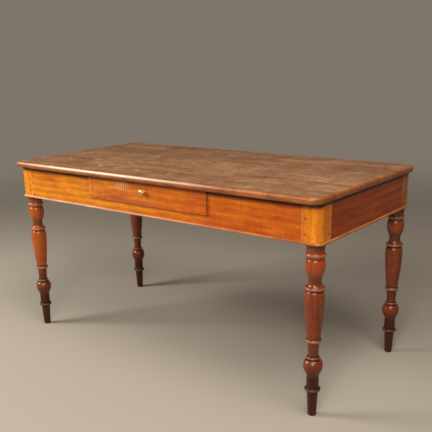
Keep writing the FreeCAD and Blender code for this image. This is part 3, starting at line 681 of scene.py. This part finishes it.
knob_low, knob_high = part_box("drawer_knob")
drawer_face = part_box("drawer_front")[0].y
shank_length = (knob_high.y - drawer_face) / MM
shank = [("straight", 0, SHANK_DIAMETER), ("straight", shank_length, SHANK_DIAMETER), ("straight", 0, 0)]
outline = turned_outline(drawer_face - knob_low.y, 0, KNOB_DOME + KNOB_NECK + KNOB_LIP + shank)
knob_foot = Vector((0, drawer_face, (knob_low.z + knob_high.z) / 2))
mesh = bmesh.new()
turn(mesh, outline, knob_foot, Vector((0, -1, 0)))
knob = new_piece(mesh, "brass_knob", "drawer", "drawer_knob")

# Rubbed brass: bright on the crown, brown with old polish in the neck.
material, tree = new_material("rubbed_brass")
place = put(tree, "TexCoord", {}, "Object")
tarnish = put(tree, "TexNoise", {"Vector": place, "Scale": 1 / (TARNISH * MM), "Detail": 4}, "Fac")
open_sky = put(tree, "AmbientOcclusion", {"Distance": POLISH_LEFT * MM}, "AO",
               only_local=True, samples=8)
nook = put(tree, "MapRange", {"Value": open_sky, "From Min": 0.85, "From Max": 0.4})
bright = put(tree, "ValToRGB", {0: tarnish}, stops=((0.35, "#C29A4A"), (0.65, "#E8C880")))
colour = put(tree, "Mix", {0: nook, 6: bright, 7: linear("#5A3E18")}, 2, data_type="RGBA")
gloss = put(tree, "MapRange", {"Value": tarnish, "From Min": 0.3, "From Max": 0.7,
                               "To Min": 0.42, "To Max": 0.26})
shader = put(tree, "BsdfPrincipled", {"Base Color": colour, "Metallic": 1.0, "Roughness": gloss})
put(tree, "OutputMaterial", {"Surface": shader}, None)
knob.data.materials.append(material)
for name in ("drawer_knob", "knob_nut"):
    dress(name, material)


# Floor: a plain pale studio floor that fades into the backdrop all round,
# so that no edge of it shows from any side.
FLOOR_REACH, FADE_STARTS, FADE_ENDS = 9.0, 1.6, 5.5
bpy.ops.mesh.primitive_circle_add(vertices=96, radius=FLOOR_REACH, fill_type="NGON")
floor = bpy.context.object
floor.name = "studio_floor"

# Matt floor paint: warm grey, with no shine.
material, tree = new_material("pale_studio_floor")
place = put(tree, "TexCoord", {}, "Object")
reach = put(tree, "VectorMath", {0: place}, "Value", operation="LENGTH")
fade = put(tree, "MapRange", {"Value": reach, "From Min": FADE_STARTS, "From Max": FADE_ENDS},
           interpolation_type="SMOOTHSTEP")
matt = put(tree, "BsdfPrincipled", {"Base Color": linear("#A89C8B"), "Roughness": 0.85, "IOR": 1.3})
clear = put(tree, "BsdfTransparent", {})
join = put(tree, "MixShader", {0: fade, 1: matt, 2: clear})
put(tree, "OutputMaterial", {"Surface": join}, None)
floor.data.materials.append(material)


# Light: a soft box at the left, one over the table, one over the camera,
# and an even grey room, which is paler as the backdrop than as a light.
ROOM_LIGHT, BACKDROP = "#48433C", "#7E766A"


def soft_box(name, place, aim, size, power):
    """A square lamp of a size in metres and a power in watts, turned towards its aim."""
    lamp = bpy.data.lights.new(name, "AREA")
    lamp.shape = "SQUARE"
    lamp.size = size
    lamp.energy = power
    box = bpy.data.objects.new(name, lamp)
    box.location = place
    box.rotation_euler = (Vector(aim) - Vector(place)).to_track_quat("-Z", "Y").to_euler()
    bpy.context.scene.collection.objects.link(box)


soft_box("soft_box_left", place=(-2.35, -2.05, 2.1), aim=(0, 0, 0.5), size=1.2, power=110)
soft_box("soft_box_over_table", place=(1.3, -0.8, 3.0), aim=(0.3, -0.1, 0), size=1.5, power=57)
soft_box("soft_box_over_camera", place=(1.8, -2.9, 2.1), aim=(0, 0, 0.5), size=1.2, power=65)

room = bpy.data.worlds.new("grey_room")
bpy.context.scene.world = room
room.use_nodes = True
tree = room.node_tree
tree.nodes.clear()
ray = put(tree, "LightPath", {}, None)
seen = put(tree, "Math", {0: ray["Is Camera Ray"], 1: ray["Is Glossy Ray"]}, operation="ADD")
seen = put(tree, "Math", {0: seen, 1: ray["Is Transmission Ray"]}, operation="ADD", use_clamp=True)
light = put(tree, "Background", {"Color": linear(ROOM_LIGHT)})
backdrop = put(tree, "Background", {"Color": linear(BACKDROP)})
even = put(tree, "MixShader", {0: seen, 1: light, 2: backdrop})
put(tree, "OutputWorld", {"Surface": even}, None)


# Camera: where the photograph was taken from, looking down a little at the table's
# right front corner, with its slight tilt. The focal length, the middle of the view
# and the image's side are in pixels of the photograph.
CAMERA_PLACE = (1.6904, -2.0827, 1.171)
YAW, PITCH, ROLL = radians(38.727), radians(16.839), radians(-1.356)
FOCAL, MIDDLE_X, MIDDLE_Y, IMAGE = 662.6, 208.4, 257.4, 432

ahead = Vector((-sin(YAW) * cos(PITCH), cos(YAW) * cos(PITCH), -sin(PITCH)))
level = Vector((cos(YAW), sin(YAW), 0))
upward = level.cross(ahead)
right = level * cos(ROLL) + upward * sin(ROLL)
up = upward * cos(ROLL) - level * sin(ROLL)
view = Matrix((right, up, -ahead)).transposed().to_4x4()
lens = bpy.data.cameras.new("camera")
lens.lens = FOCAL / IMAGE * lens.sensor_width
lens.shift_x = (IMAGE / 2 - MIDDLE_X) / IMAGE
lens.shift_y = (MIDDLE_Y - IMAGE / 2) / IMAGE
camera = bpy.data.objects.new("camera", lens)
camera.matrix_world = Matrix.Translation(CAMERA_PLACE) @ view
bpy.context.scene.collection.objects.link(camera)
bpy.context.scene.camera = camera
bpy.context.scene.view_settings.view_transform = "Standard"
